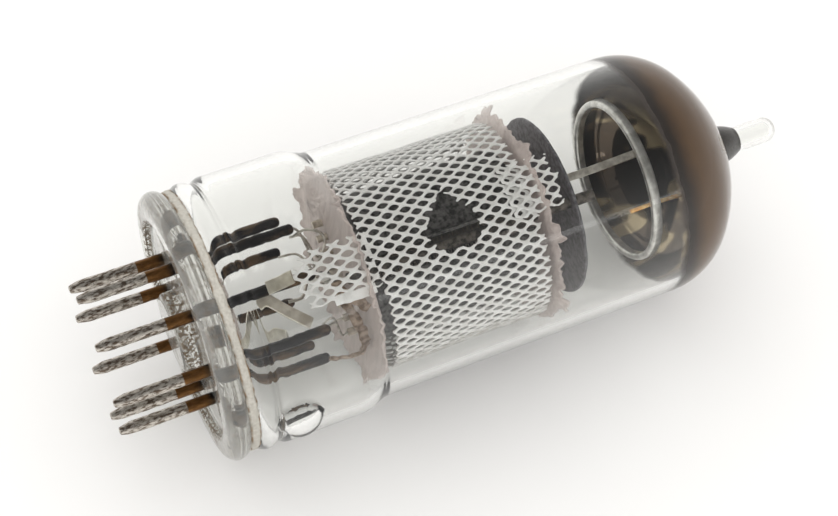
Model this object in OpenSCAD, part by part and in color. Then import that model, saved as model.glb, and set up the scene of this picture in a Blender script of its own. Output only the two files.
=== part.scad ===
// All-glass radio valve with an eight-pin pressed-glass base.
// It lies on its side: +X runs from the pins to the exhaust tip, +Z is up, and the
// locating pip points to -Y. The origin is the centre of the base's seating face.
// Clock angles turn about +X, from the pip (0 degrees) up over +Z (90 degrees).

/* [Bulb] */
// Outside diameter of the long part of the bulb
bulb_d = 20.4; // [17:0.1:26]
// Thickness of the bulb's wall
bulb_wall = 0.8; // [0.5:0.05:1.2]
// Height of the dome's crown above the seating face
bulb_top = 47.1; // [42:0.1:60]
// Radius of the rounded corner between the side and the crown, for a bulb of 20.4; it grows with the bulb
knuckle_r = 6.1; // [4:0.1:7.5]
// Radius of the crown, for a bulb of 20.4; it grows with the bulb
crown_r = 12; // [10.5:0.5:24]
// How far the skirt stands out beyond the bulb
skirt_step = 0.65; // [0.3:0.05:1.5]
// Length of the skirt's straight side
skirt_len = 9.4; // [7:0.1:11]
// Length of the slope from the skirt to the bulb
shoulder_len = 1.3; // [0.6:0.1:2]
// Radius of the skirt's rounded foot
skirt_foot_r = 0.9; // [0.5:0.1:1.2]

/* [Locating pip] */
// Diameter of the glass pip on the skirt
pip_d = 3.4; // [2:0.1:4.5]
// How far the pip stands out from the skirt
pip_h = 1.0; // [0.5:0.1:1.6]
// Height of the pip's centre above the seating face
pip_x = 5.6; // [4.5:0.1:8]

/* [Glass base] */
// Thickness of the base's rim
rim_h = 1.9; // [1.2:0.1:2.6]
// How far the rim stands out beyond the skirt
rim_step = 0.05; // [0:0.05:0.4]
// Thickness of the base's floor
floor_h = 2.4; // [2:0.1:3.2]
// Diameter of the boss under the base
boss_d = 6.4; // [4:0.1:8]
// How far the boss stands below the seating face
boss_h = 0.9; // [0.4:0.1:1.5]
// Depth of the ring-shaped recess that the pins leave from
recess_h = 0.5; // [0.2:0.1:1]
// Width of the seating rim outside the recess
seat_w = 2.2; // [1.4:0.1:3]
// Diameter of the glass bead round each pin
bead_d = 2.0; // [1.5:0.1:2.6]
// Height of the glass bead round each pin
bead_h = 0.7; // [0.3:0.1:1.2]
// Thickness of the sealing ring between the base and the bulb
frit_h = 0.45; // [0.3:0.05:0.8]
// Set-back of the sealing ring from the skirt's side
frit_inset = 0.55; // [0.3:0.05:0.8]

/* [Pins] */
// Diameter of the circle through the pins
pin_circle_d = 11.5; // [10:0.1:14]
// Diameter of a pin
pin_d = 1.0; // [0.8:0.05:1.2]
// Length of a pin beyond the seating face
pin_len = 7.0; // [5:0.1:9]
// Length of a pin's tapered end
pin_taper = 0.9; // [0.4:0.1:1.4]
// Thickness of the plating on the outer part of a pin
pin_plating = 0.02; // [0.01:0.005:0.05]
// Length of a pin inside the bulb, above the base's floor
post_len = 7.7; // [5:0.1:8]

/* [Exhaust tip] */
// Outside diameter of the sealed-off stub
stub_d = 2.15; // [1.6:0.05:2.8]
// Height of the stub above the crown
stub_len = 6.3; // [4:0.1:8]
// Diameter of the stub's root where it leaves the crown
stub_root_d = 3.5; // [3:0.1:4.5]
// Height of the tapered root
stub_root_len = 2.6; // [1.5:0.1:3.4]
// Thickness of the stub's wall
stub_wall = 0.35; // [0.25:0.05:0.45]

/* [Getter] */
// Thickness of the dark film inside the dome
film_t = 0.1; // [0.06:0.01:0.15]
// How far the film reaches below the dome
film_reach = 0.8; // [0:0.1:3]
// Outside diameter of the getter ring
ring_d = 13.9; // [10:0.1:15]
// Width of the getter ring's channel
ring_w = 0.8; // [0.6:0.1:1.4]
// How far the getter ring's centre lies below the dome
ring_drop = 1.4; // [0:0.1:3]
// Width of the flat strip that holds the getter ring
strip_w = 1.0; // [0.6:0.1:1.6]
// Length of the wire tail that crosses inside the getter ring
tail_len = 4.7; // [2:0.1:5]

/* [Electrode cage] */
// Height of the bottom mica above the seating face
cage_x = 13.2; // [12:0.1:14]
// Distance between the two micas
cage_len = 14.8; // [12:0.1:18]
// Thickness of a mica
mica_t = 0.25; // [0.15:0.05:0.4]
// Play between a mica's ears and the bulb
mica_play = 0.15; // [0.05:0.05:0.4]
// Width of each of a mica's eight ears
ear_w = 1.3; // [0.8:0.1:1.4]
// Gap between the dark shield disc and the bulb
disc_play = 1.9; // [1:0.1:4]
// Thickness of the shield disc
disc_t = 0.3; // [0.2:0.05:0.5]
// Gap between the top mica and the shield disc
disc_gap = 2.7; // [1:0.1:3.5]
// Gap between the mesh screen and the bulb
screen_play = 1.2; // [0.8:0.1:2]
// Thickness of the mesh screen
screen_t = 0.25; // [0.15:0.05:0.4]
// Gap between the mesh screen and each mica
screen_gap = 0.25; // [0.2:0.05:1]
// Width of the diamond hole in the mesh screen
window_w = 4.6; // [2:0.1:6]
// Length of the diamond hole in the mesh screen
window_len = 4.4; // [3:0.1:8]
// Distance of the hole's centre from the screen's lower edge
window_up = 7; // [5:0.1:8]
// Angle that the mesh tongue spans
tongue_angle = 28; // [20:1:34]
// Length of the mesh tongue below the screen
tongue_len = 5.6; // [3:0.1:7]

/* [Electrodes] */
// Gap between the anode's flanges and the mesh screen
anode_play = 1.15; // [0.8:0.05:2]
// Thickness of the anode's sheet
anode_t = 0.25; // [0.15:0.05:0.4]
// Gap between the two halves of the anode
anode_split = 1.8; // [1:0.1:3]
// How far the anode's flat flanges stand out
flange_w = 0.9; // [0.5:0.1:1.2]
// Diameter of the grid wire
grid_wire_d = 0.12; // [0.08:0.01:0.2]
// Distance between two turns of a grid
grid_pitch = 0.9; // [0.6:0.05:1.5]
// Diameter of the rods that carry the grids
grid_rod_d = 0.6; // [0.4:0.05:0.8]
// Diameter of the cathode sleeve
cathode_d = 1.8; // [1.4:0.1:2.2]
// Thickness of the cathode sleeve's wall
cathode_wall = 0.1; // [0.08:0.01:0.2]
// Diameter of the coated heater inside the cathode
heater_d = 1.2; // [0.8:0.1:1.4]
// How far the electrodes reach through each mica
rod_reach = 0.9; // [0.5:0.1:1.2]
// Diameter of the rods that hold the anode and the shield disc
post_d = 0.9; // [0.6:0.05:1.1]
// Diameter of the wire leads inside the base
lead_d = 0.4; // [0.3:0.05:0.6]
// Width of the flat straps inside the base
strap_in_w = 1.1; // [0.8:0.1:1.5]
// Thickness of the flat straps
strap_t = 0.2; // [0.1:0.05:0.3]

/* [Hidden] */
$fn = 64;

eps = 0.01;
pin_step = 45;
first_pin = 22.5;
bulb_r = bulb_d / 2;
skirt_r = bulb_r + skirt_step;
rim_r = skirt_r + rim_step;
bulb_in_r = bulb_r - bulb_wall;
foot_x = rim_h + frit_h;
shoulder_x = foot_x + skirt_len;
neck_x = shoulder_x + shoulder_len;

// The dome's two radii grow with the bulb, so the crown is always wider than the bulb.
dome_for_d = 20.4;
knuckle = knuckle_r * bulb_d / dome_for_d;
crown = crown_r * bulb_d / dome_for_d;

// The knuckle's centre is on the bulb's side, the crown's is on the axis.
knuckle_y = bulb_r - knuckle;
crown_x = bulb_top - crown;
dome_x = crown_x + sqrt(pow(crown - knuckle, 2) - pow(knuckle_y, 2));

pin_r = pin_d / 2;
post_r = pin_r - pin_plating;
pin_ring = pin_circle_d / 2;
post_top = floor_h + post_len;
stub_r = stub_d / 2;
stub_root_r = stub_root_d / 2;
root_x = crown_x + sqrt(pow(crown, 2) - pow(stub_root_r, 2));
ring_x = dome_x - ring_drop;
ring_r = ring_d / 2 - ring_w / 2;
strip_ring = ring_r - ring_w / 2;
film_edge_x = dome_x - film_reach;
play = 0.03;

// The micas' bodies fit inside the screen, and their ears reach the bulb.
mica_r = bulb_in_r - mica_play;
ears = 8;
ear_step = 45;
cage_top = cage_x + cage_len;
disc_x = cage_top + mica_t + disc_gap;
disc_top = disc_x + disc_t;
screen_lo = cage_x + mica_t + screen_gap;
screen_hi = cage_top - screen_gap;
screen_r = bulb_in_r - screen_play;
screen_in_r = screen_r - screen_t;
mica_body_r = screen_in_r - play;
window_x = screen_lo + window_up;
window_angle = 69;
tongue_clock = 64;
tongue_lo = screen_lo - tongue_len;

// The anode's flanges and its posts share one plane, and the grids' rods the other.
split_angle = 56;
anode_r = screen_in_r - anode_play - flange_w;
anode_lo = cage_x + mica_t + 0.3;
anode_len = cage_len - mica_t - 0.6;
post_ring = anode_r + flange_w - post_d / 2;
post_lo = cage_x - rod_reach;
post_hi = disc_top + 1.8;
grid_rod_r = grid_rod_d / 2;
bend_d = lead_d * 1.2;
cathode_r = cathode_d / 2;

// The three grids are evenly spaced between the cathode and the anode.
grid_gap = (anode_r - anode_t - cathode_r) / 4;
control_r = cathode_r + grid_gap;
screen_grid_r = control_r + grid_gap;
suppressor_r = screen_grid_r + grid_gap;
rod_lo = cage_x - rod_reach;
rod_len = cage_len + mica_t + 2 * rod_reach;
grid_turns = floor((cage_len - 1.6) / grid_pitch);
strip_angle = 75;
tail_angle = 34;

// Turns a part from its clock angle's own plane: local -Y points along the clock angle.
module clock(angle) {
    rotate([-angle, 0, 0]) children();
}

// Turns a profile of (x along the axis, y outwards) round the valve's axis.
module lathe() {
    rotate([0, 90, 0]) rotate_extrude() rotate(90) mirror([0, 1]) children();
}

// A cylinder along +X from x, at a clock angle and a distance from the axis.
module rod(x, len, r, angle = 0, out = 0) {
    clock(angle) translate([x, -out, 0]) rotate([0, 90, 0]) cylinder(r = r, h = len);
}

function at(x, out, angle) = [x, -out * cos(angle), out * sin(angle)];
function reach(v) = norm(v);

// One straight length of round wire between two points.
module wire_length(p, q, d) {
    v = q - p;
    translate(p) rotate([0, acos(v.z / reach(v)), atan2(v.y, v.x)]) cylinder(d = d, h = reach(v));
}

// A lead of round wire through a list of points, with a small ball at each bend.
module wire(points) {
    for (i = [0 : len(points) - 2]) wire_length(points[i], points[i + 1], lead_d);
    for (i = [1 : len(points) - 2]) translate(points[i]) sphere(d = bend_d);
}

// A flat strap from p to q. Its width lies across the line to the valve's axis.
module strap(p, q, w, t) {
    v = q - p;
    translate(p) rotate([0, acos(v.z / reach(v)), atan2(v.y, v.x)])
        translate([-t / 2, -w / 2, 0]) cube([t, w, reach(v)]);
}

// ---- the bulb ----

// The bulb's outline from the foot to the crown, drawn in by inset.
module bulb_outline(inset = 0) {
    side = bulb_r - inset;
    foot = skirt_foot_r - min(inset, skirt_foot_r - 0.1);
    translate([foot_x, 0]) square([dome_x - foot_x, side]);
    intersection() {
        translate([dome_x, 0]) square([bulb_top, side]);
        union() {
            translate([dome_x, knuckle_y]) circle(knuckle - inset);
            intersection() {
                translate([crown_x, 0]) circle(crown - inset);
                crown_sector();
            }
            square([dome_x + 0.1, side]);
        }
    }
    skirt_outline(inset, foot);
}

// The wedge between the axis and the line where the knuckle meets the crown.
module crown_sector() {
    slope = knuckle_y / (dome_x - crown_x);
    far = 2 * crown;
    polygon([[crown_x, 0], [crown_x + far, 0], [crown_x + far, far * slope]]);
}

// The skirt: a foot with a rounded edge, a straight side and a slope up to the bulb.
module skirt_outline(inset, foot) {
    r = skirt_r - inset;
    translate([foot_x + foot, r - foot]) circle(foot);
    polygon([[foot_x, 0], [foot_x, r - foot], [foot_x + foot, r - foot], [foot_x + foot, r],
        [shoulder_x, r], [neck_x, bulb_r - inset], [neck_x, 0]]);
}

module pip() {
    pip_r = pip_d / 2;
    ball_r = (pow(pip_r, 2) + pow(pip_h, 2)) / (2 * pip_h);
    translate([pip_x, -(skirt_r + pip_h - ball_r), 0]) sphere(ball_r);
}

module bulb_glass() {
    color([0.86, 0.88, 0.86, 0.4]) difference() {
        union() {
            lathe() bulb_outline();
            pip();
        }
        lathe() bulb_outline(bulb_wall);
        lathe() square([foot_x + bulb_wall + eps, skirt_r - bulb_wall]);
        rod(bulb_top - bulb_wall - 1, 2, stub_root_r - stub_wall);
        lathe() translate([root_x, 0]) square([2, stub_root_r]);
    }
}

// The stub's solid shape, drawn in by inset: a tapered root, a straight side and a round end.
module stub_solid(inset) {
    end_r = stub_r - inset;
    end_x = bulb_top + stub_len - stub_r;
    lathe() polygon([[root_x, 0], [root_x, stub_root_r - inset],
        [root_x + stub_root_len, end_r], [end_x, end_r], [end_x, 0]]);
    translate([end_x, 0, 0]) sphere(end_r);
}

module exhaust_stub() {
    color([0.9, 0.9, 0.88, 0.4]) difference() {
        stub_solid(0);
        stub_solid(stub_wall);
    }
}

module stub_deposit() {
    r0 = stub_root_r - stub_wall;
    r1 = stub_r - stub_wall;
    waist_x = root_x + stub_root_len;
    skin = 2 * film_t;
    color([0.05, 0.045, 0.04]) lathe() difference() {
        polygon([[root_x, 0], [root_x, r0], [waist_x, r1], [waist_x + 0.6, 0.1], [waist_x + 0.6, 0]]);
        polygon([[root_x - eps, 0], [root_x - eps, r0 - skin], [waist_x, r1 - skin], [waist_x, 0]]);
    }
}

module getter_film() {
    color([0.33, 0.29, 0.25, 0.8]) lathe() intersection() {
        difference() {
            bulb_outline(bulb_wall);
            bulb_outline(bulb_wall + film_t);
            square([bulb_top, stub_root_r - stub_wall]);
        }
        translate([film_edge_x, 0]) square([bulb_top, bulb_r]);
    }
}

// ---- the base ----

module base_outline() {
    rim = rim_h / 2;
    boss_r = boss_d / 2;
    bead = boss_h / 2;
    translate([rim, rim_r - rim]) circle(rim);
    square([rim_h, rim_r - rim]);
    square([floor_h, bulb_in_r - 0.4]);
    translate([-boss_h, 0]) square([boss_h + eps, boss_r - bead]);
    translate([-bead, boss_r - bead]) circle(bead);
}

module glass_base() {
    seat_r = rim_r - seat_w;
    color([0.82, 0.84, 0.8, 0.45]) difference() {
        union() {
            lathe() difference() {
                base_outline();
                translate([-eps, boss_d / 2]) square([recess_h + eps, seat_r - boss_d / 2]);
            }
            for (number = [1 : 8])
                rod(floor_h - eps, bead_h + eps, bead_d / 2, pin_angle(number), pin_ring);
        }
        for (number = [1 : 8]) rod(-1, floor_h + bead_h + 2, post_r, pin_angle(number), pin_ring);
    }
}

module sealing_frit() {
    r = skirt_r - frit_inset;
    color([0.72, 0.68, 0.58]) difference() {
        rod(rim_h, frit_h, r);
        rod(rim_h - eps, frit_h + 2 * eps, bulb_in_r - 0.4);
    }
}

// Pin 1 is the first one past the pip on the upper side. Its plating ends where it enters the glass.
module pin(number) {
    tip = pin_r * 0.62;
    blunt = 0.35;
    color([0.52, 0.47, 0.42]) clock(pin_angle(number)) translate([0, -pin_ring, 0])
        lathe() polygon([[-pin_len, 0], [-pin_len, tip], [-pin_len + pin_taper, pin_r], [recess_h, pin_r],
            [recess_h, post_r], [post_top - blunt, post_r], [post_top, post_r * 0.55], [post_top, 0]]);
}

// ---- the cage ----

// A mica disc with ears to the bulb, and round holes for the posts, the grid rods and the cathode.
module mica(x) {
    color([0.84, 0.76, 0.74, 0.6]) difference() {
        union() {
            rod(x, mica_t, mica_body_r);
            intersection() {
                rod(x, mica_t, mica_r);
                for (i = [0 : ears - 1]) clock(i * ear_step)
                    translate([x, -mica_r, -ear_w / 2]) cube([mica_t, mica_r - mica_body_r / 2, ear_w]);
            }
        }
        rod(x - eps, mica_t + 2 * eps, cathode_r + play);
        for (side = [0, 180]) {
            rod(x - eps, mica_t + 2 * eps, post_d / 2 + play, split_angle + side, post_ring);
            for (r = [suppressor_r, screen_grid_r, control_r])
                rod(x - eps, mica_t + 2 * eps, grid_rod_r + play, split_angle + 90 + side, r);
        }
    }
}

module shield_disc() {
    color([0.33, 0.34, 0.38]) difference() {
        rod(disc_x, disc_t, bulb_in_r - disc_play);
        for (side = [0, 180])
            rod(disc_x - eps, disc_t + 2 * eps, post_d / 2, split_angle + side, post_ring);
    }
}

// The screen is rolled from one sheet of mesh, with a diamond-shaped hole in it.
module mesh_screen() {
    color([0.66, 0.65, 0.63]) difference() {
        rod(screen_lo, screen_hi - screen_lo, screen_r);
        rod(screen_lo - eps, screen_hi - screen_lo + 2 * eps, screen_in_r);
        clock(window_angle) translate([window_x, 0, 0]) rotate([90, 0, 0]) linear_extrude(2 * screen_r)
            polygon([[-window_len / 2, 0], [0, window_w / 2], [window_len / 2, 0], [0, -window_w / 2]]);
    }
}

module mesh_tongue() {
    far = 2 * screen_r;
    across = far * tan(tongue_angle / 2);
    color([0.66, 0.65, 0.63]) clock(tongue_clock) difference() {
        rod(tongue_lo, tongue_len - play, screen_r);
        rod(tongue_lo - eps, tongue_len + 1, screen_in_r);
        difference() {
            translate([tongue_lo - 1, -far, -far]) cube([tongue_len + 2, 2 * far, 2 * far]);
            translate([tongue_lo - 2, 0, 0]) rotate([90, 0, 90]) linear_extrude(tongue_len + 4)
                polygon([[0, 0], [-far, across], [-far, -across]]);
        }
    }
}

// Half of the anode: a half tube with a flat flange along each edge.
module anode_half(side) {
    inner = anode_r - anode_t;
    gap = anode_split / 2;
    ring = post_ring;
    color([0.36, 0.36, 0.37]) clock(split_angle) difference() {
        union() {
            rod(anode_lo, anode_len, anode_r);
            for (s = [-1, 1])
                translate([anode_lo, s > 0 ? inner : -anode_r - flange_w, side > 0 ? gap : -gap - anode_t])
                    cube([anode_len, flange_w + anode_t, anode_t]);
        }
        rod(anode_lo - eps, anode_len + 2 * eps, inner);
        translate([anode_lo - eps, -2 * anode_r, side > 0 ? -2 * anode_r + gap : -gap])
            cube([anode_len + 2 * eps, 4 * anode_r, 2 * anode_r]);
        for (s = [0, 180]) rod(anode_lo - eps, anode_len + 2 * eps, post_d / 2 + play, s, ring);
    }
}

module anode_post(side) {
    color([0.6, 0.58, 0.55]) rod(post_lo, post_hi - post_lo, post_d / 2, split_angle + side, post_ring);
}

// A wound grid: evenly spaced turns of wire carried by two rods.
module grid(r) {
    w = grid_wire_d;
    start = cage_x + mica_t + 0.8;
    color([0.62, 0.58, 0.5]) union() {
        for (i = [0 : grid_turns - 1]) difference() {
            rod(start + i * grid_pitch, w, r + w / 2);
            rod(start + i * grid_pitch - eps, w + 2 * eps, r - w / 2);
        }
        for (side = [0, 180]) rod(rod_lo, rod_len, grid_rod_r, split_angle + 90 + side, r);
    }
}

module cathode_sleeve() {
    color([0.7, 0.69, 0.66]) difference() {
        rod(rod_lo, rod_len, cathode_r);
        rod(rod_lo - eps, rod_len + 2 * eps, cathode_r - cathode_wall);
    }
}

module heater() {
    color([0.93, 0.92, 0.89]) rod(rod_lo - 0.5, rod_len, heater_d / 2);
}

// ---- the getter ----

module getter_ring() {
    wall = 0.2;
    half = ring_w / 2;
    color([0.5, 0.49, 0.47]) lathe() difference() {
        translate([ring_x - half, ring_r - half]) square(ring_w);
        translate([ring_x - half + wall, ring_r - half + wall]) square([ring_w, ring_w - 2 * wall]);
    }
}

module getter_strip() {
    strip_len = ring_x + ring_w / 2 - disc_top;
    color([0.75, 0.74, 0.72]) clock(strip_angle)
        translate([disc_top, play - strip_ring, -strip_w / 2]) cube([strip_len, strap_t, strip_w]);
}

module getter_tail() {
    color([0.78, 0.5, 0.22])
        rod(ring_x - 0.4 * tail_len, tail_len, lead_d / 2, tail_angle, strip_ring - lead_d / 2);
}

// ---- the leads between the pins and the electrodes ----

function pin_angle(number) = first_pin + (number - 1) * pin_step;

module link_strap_a() {
    inner = pin_ring - pin_r - strap_t;
    color([0.74, 0.72, 0.68]) strap(at(post_top - 4.1, inner, pin_angle(2) - 5),
        at(post_top - 1.3, inner, pin_angle(1) + 7), strap_in_w, strap_t);
}

module link_strap_b() {
    inner = pin_ring - pin_r - strap_t;
    color([0.74, 0.72, 0.68]) strap(at(post_top - 4.4, inner, pin_angle(6)),
        at(post_top - 3.2, inner, pin_angle(1)), strap_in_w, strap_t);
}

module tongue_strap() {
    out = pin_ring + pin_r + strap_t;
    color([0.74, 0.72, 0.68]) strap(at(tongue_lo - 2, out, pin_angle(2)),
        at(tongue_lo - play, screen_in_r, pin_angle(2)), strap_in_w, strap_t);
}

module cathode_lead() {
    foot = cathode_r + bend_d / 2;
    color([0.42, 0.33, 0.26]) wire([at(post_top + lead_d / 2, pin_ring, pin_angle(8)),
        at(post_top + 2, pin_ring + 0.3, pin_angle(8) + 14), at(post_top + 1.6, 4.4, 20),
        at(rod_lo + 0.1, foot, 40)]);
}

module anode_lead() {
    color([0.6, 0.58, 0.55]) wire([at(post_top - 0.3, pin_ring - pin_r - lead_d / 2, pin_angle(6)),
        at(post_lo - 0.9, post_ring - 1, split_angle + 172), at(post_lo, post_ring, split_angle + 180)]);
}

// The two heater leads end side by side, one on each side of the axis.
module heater_lead(number, foot) {
    legs = heater_d / 4;
    color([0.55, 0.5, 0.44]) wire([at(post_top - 0.3, pin_ring - pin_r - lead_d / 2, pin_angle(number)),
        at(post_top + 1.2, pin_ring - 1.2, pin_angle(number)),
        at(post_top + 1.3, cathode_d, pin_angle(number)),
        at(rod_lo - 1, legs, foot), at(rod_lo - 0.5, legs, foot)]);
}

module grid_lead(number, r, side) {
    color([0.6, 0.58, 0.55]) wire([at(post_top - 0.3, pin_ring - pin_r - lead_d / 2, pin_angle(number)),
        at(post_top + 0.6, pin_ring - 1.0, pin_angle(number)),
        at(rod_lo - 0.5, r, split_angle + 90 + side), at(rod_lo, r, split_angle + 90 + side)]);
}

bulb_glass();
exhaust_stub();
stub_deposit();
getter_film();
glass_base();
sealing_frit();
pin(1);  // pin_1
pin(2);  // pin_2
pin(3);  // pin_3
pin(4);  // pin_4
pin(5);  // pin_5
pin(6);  // pin_6
pin(7);  // pin_7
pin(8);  // pin_8
mica(cage_x);  // bottom_mica
mica(cage_top);  // top_mica
shield_disc();
mesh_screen();
mesh_tongue();
anode_half(1);  // anode_upper
anode_half(-1);  // anode_lower
anode_post(0);  // anode_post_a
anode_post(180);  // anode_post_b
grid(suppressor_r);  // suppressor_grid
grid(screen_grid_r);  // screen_grid
grid(control_r);  // control_grid
cathode_sleeve();
heater();
getter_ring();
getter_strip();
getter_tail();
link_strap_a();
link_strap_b();
tongue_strap();
cathode_lead();
anode_lead();
heater_lead(4, 90);  // heater_lead_a
heater_lead(5, 270);  // heater_lead_b
grid_lead(3, control_r, 0);  // control_grid_lead
grid_lead(7, screen_grid_r, 180);  // screen_grid_lead
grid_lead(1, suppressor_r, 180);  // suppressor_lead
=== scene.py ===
# %% [markdown]
# An all-glass radio valve lies on its side on a pale table. The CAD model is the frame: it fixes
# where every piece is and how big it is. This script gives each piece the fine shape and the finish
# that CAD leaves out: clear glass with walls, real diamond mesh, pitted pins, torn mica and bent leads.

# %% Load the frame
import math
import bpy
from mathutils import Matrix, Vector, noise


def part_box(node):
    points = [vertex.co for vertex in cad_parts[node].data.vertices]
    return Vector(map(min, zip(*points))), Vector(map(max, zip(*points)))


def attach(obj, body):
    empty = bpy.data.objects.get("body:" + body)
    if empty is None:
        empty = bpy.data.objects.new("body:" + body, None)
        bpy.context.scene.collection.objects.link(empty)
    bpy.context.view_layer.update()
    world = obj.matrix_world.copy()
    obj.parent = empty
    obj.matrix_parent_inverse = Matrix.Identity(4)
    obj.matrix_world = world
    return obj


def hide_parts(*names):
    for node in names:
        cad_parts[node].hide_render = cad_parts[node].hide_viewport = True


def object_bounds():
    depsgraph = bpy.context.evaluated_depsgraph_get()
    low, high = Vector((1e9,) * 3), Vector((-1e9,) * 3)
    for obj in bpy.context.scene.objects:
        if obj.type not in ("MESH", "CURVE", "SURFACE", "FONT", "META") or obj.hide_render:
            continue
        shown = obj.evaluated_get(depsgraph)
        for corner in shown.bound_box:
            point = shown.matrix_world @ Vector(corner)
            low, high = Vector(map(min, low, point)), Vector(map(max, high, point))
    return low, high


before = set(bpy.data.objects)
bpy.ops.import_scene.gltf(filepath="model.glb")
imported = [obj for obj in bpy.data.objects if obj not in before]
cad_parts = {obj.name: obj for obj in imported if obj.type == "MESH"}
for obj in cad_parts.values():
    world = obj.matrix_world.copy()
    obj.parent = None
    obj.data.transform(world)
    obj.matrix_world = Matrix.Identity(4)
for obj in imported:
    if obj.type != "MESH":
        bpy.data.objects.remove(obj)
cad_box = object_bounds()
MM = 0.001
print("CAD box", cad_box)


# %% [markdown]
# Everything in a valve is placed round one axis, like the numbers round a clock. So each point below
# is given by how far along the axis it is, how far out, and its clock angle: 0 degrees is at the glass
# pip, and 90 degrees is the top as the valve lies. Lengths are in millimetres until this last step.

# %% Points round the axis
def at(x, out, angle):
    turn = math.radians(angle)
    return Vector((x, -out * math.cos(turn), out * math.sin(turn))) * MM


def span(node):
    """A node's lowest and highest place along the axis, in millimetres."""
    low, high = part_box(node)
    return low[0] / MM, high[0] / MM


def reach(node):
    """How far a round node stands out from the axis, in millimetres."""
    low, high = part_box(node)
    return high[1] / MM


BULB_R = reach("top_mica") + 0.15 + 0.8
print("bulb radius", round(BULB_R, 2), "mm")


# %% [markdown]
# The camera looks down on the valve from beyond its pins, a little off square, from about 13 cm.
# A long lens at that distance keeps the pins bigger than the dome, as the eye would see them. The
# camera's three directions are worked out from two angles and a roll, then put in one matrix.

# %% Camera
LOOK_DOWN = math.radians(56.75)
LOOK_ALONG = math.radians(29.1)
ROLL = math.radians(5.84)
AIM = Vector((19.16, -1.82, 1.71)) * MM
DISTANCE = 128 * MM

forward = Vector((math.cos(LOOK_DOWN) * math.sin(LOOK_ALONG),
                  math.cos(LOOK_DOWN) * math.cos(LOOK_ALONG), -math.sin(LOOK_DOWN)))
level = Vector((math.cos(LOOK_ALONG), -math.sin(LOOK_ALONG), 0))
upright = level.cross(forward)
right = level * math.cos(ROLL) + upright * math.sin(ROLL)
up = right.cross(forward)

camera = bpy.data.objects.new("camera", bpy.data.cameras.new("camera"))
camera.data.lens = 69.8
camera.data.sensor_width = 36
camera.data.clip_start = 0.01
axes = Matrix((right, up, -forward)).transposed().to_4x4()
camera.matrix_world = Matrix.Translation(AIM - forward * DISTANCE) @ axes
bpy.context.scene.collection.objects.link(camera)
bpy.context.scene.camera = camera
print("camera at", [round(v / MM, 1) for v in camera.matrix_world.translation], "mm")


# %% [markdown]
# A finish is a small sum: so much tarnish here, times a patchy noise, less where the metal is rubbed.
# Blender writes sums as Math nodes. The class below wraps a node's output, so that + - * and the rest
# add those nodes, and a finish can be read as the sum that it is.

# %% Sums of shader values
class Value:
    def __init__(self, finish, socket):
        self.finish = finish
        self.socket = socket

    def maths(self, operation, first, second):
        return self.finish.node("Math", {"operation": operation}, {0: first, 1: second})

    def __add__(self, other):
        return self.maths("ADD", self, other)

    def __mul__(self, other):
        return self.maths("MULTIPLY", self, other)

    def __sub__(self, other):
        return self.maths("SUBTRACT", self, other)

    def __rsub__(self, other):
        return self.maths("SUBTRACT", other, self)

    def __abs__(self):
        return self.finish.node("Math", {"operation": "ABSOLUTE"}, {0: self})

    __radd__ = __add__
    __rmul__ = __mul__


# %% [markdown]
# Every finish needs the same few things: a place on the piece in millimetres, a noise, a smooth step
# from 0 to 1, a blend of two colours and a bump. They could be typed out as nodes each time. It is
# shorter, and easier to read, to keep them as methods of one class, round a single method that makes
# any node at all.

# %% A finish and its nodes
class Finish:
    """One material. node() makes any node: its kind, its settings, then its sockets."""

    def __init__(self, name):
        self.material = bpy.data.materials.new(name)
        self.material.use_nodes = True
        self.tree = self.material.node_tree
        self.tree.nodes.clear()

    def node(self, kind, settings={}, sockets={}, out=0):
        node = self.tree.nodes.new("ShaderNode" + kind)
        for key, value in settings.items():
            setattr(node, key, value)
        for key, value in sockets.items():
            if isinstance(value, Value):
                self.tree.links.new(value.socket, node.inputs[key])
            else:
                node.inputs[key].default_value = value
        return Value(self, node.outputs[out])

    def place(self, stretch=(1, 1, 1)):
        """The point on the piece in millimetres, stretched along each axis."""
        here = self.node("TexCoord", out="Object")
        scale = tuple(s / MM for s in stretch)
        return self.node("VectorMath", {"operation": "MULTIPLY"}, {0: here, 1: scale})

    def along(self):
        """How far along the valve's axis the point is, in millimetres."""
        return self.node("SeparateXYZ", {}, {0: self.place()})

    def height(self):
        """How high the point lies above the axis, in millimetres."""
        return self.node("SeparateXYZ", {}, {0: self.place()}, out=2)

    def off_axis(self):
        """How far out from the axis the point is, in millimetres."""
        return self.node("VectorMath", {"operation": "LENGTH"}, {0: self.place((0, 1, 1))}, out=1)

    def grain(self, size, detail=3.0, stretch=(1, 1, 1), seed=0.0):
        """Soft noise from 0 to 1 whose blobs are about size millimetres wide."""
        sockets = {"Vector": self.place(stretch), "W": seed, "Scale": 1 / size, "Detail": detail}
        return self.node("TexNoise", {"noise_dimensions": "4D"}, sockets)

    def ramp(self, value, low, high):
        """0 up to low, 1 from high, and a smooth rise between."""
        settings = {"interpolation_type": "SMOOTHSTEP"}
        return self.node("MapRange", settings, {"Value": value, "From Min": low, "From Max": high})

    def mix(self, factor, first, second):
        """One colour turning into another."""
        return self.node("Mix", {"data_type": "RGBA"}, {0: factor, 6: first, 7: second}, out=2)

    def bump(self, height, depth):
        """A bump whose height runs from 0 to 1 over depth millimetres."""
        return self.node("Bump", {}, {"Height": height, "Strength": 1.0, "Distance": depth * MM})

    def skin(self, **sockets):
        """A Principled surface. Words in a socket's name are joined with an underscore."""
        named = {key.replace("_", " "): value for key, value in sockets.items()}
        return self.node("BsdfPrincipled", {}, named)

    def blend(self, factor, first, second):
        """One surface turning into another."""
        return self.node("MixShader", {}, {0: factor, 1: first, 2: second})

    def done(self, surface):
        end = self.tree.nodes.new("ShaderNodeOutputMaterial")
        self.tree.links.new(surface.socket, end.inputs[0])
        print("finish", self.material.name, len(self.tree.nodes), "nodes")
        return self.material


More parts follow.
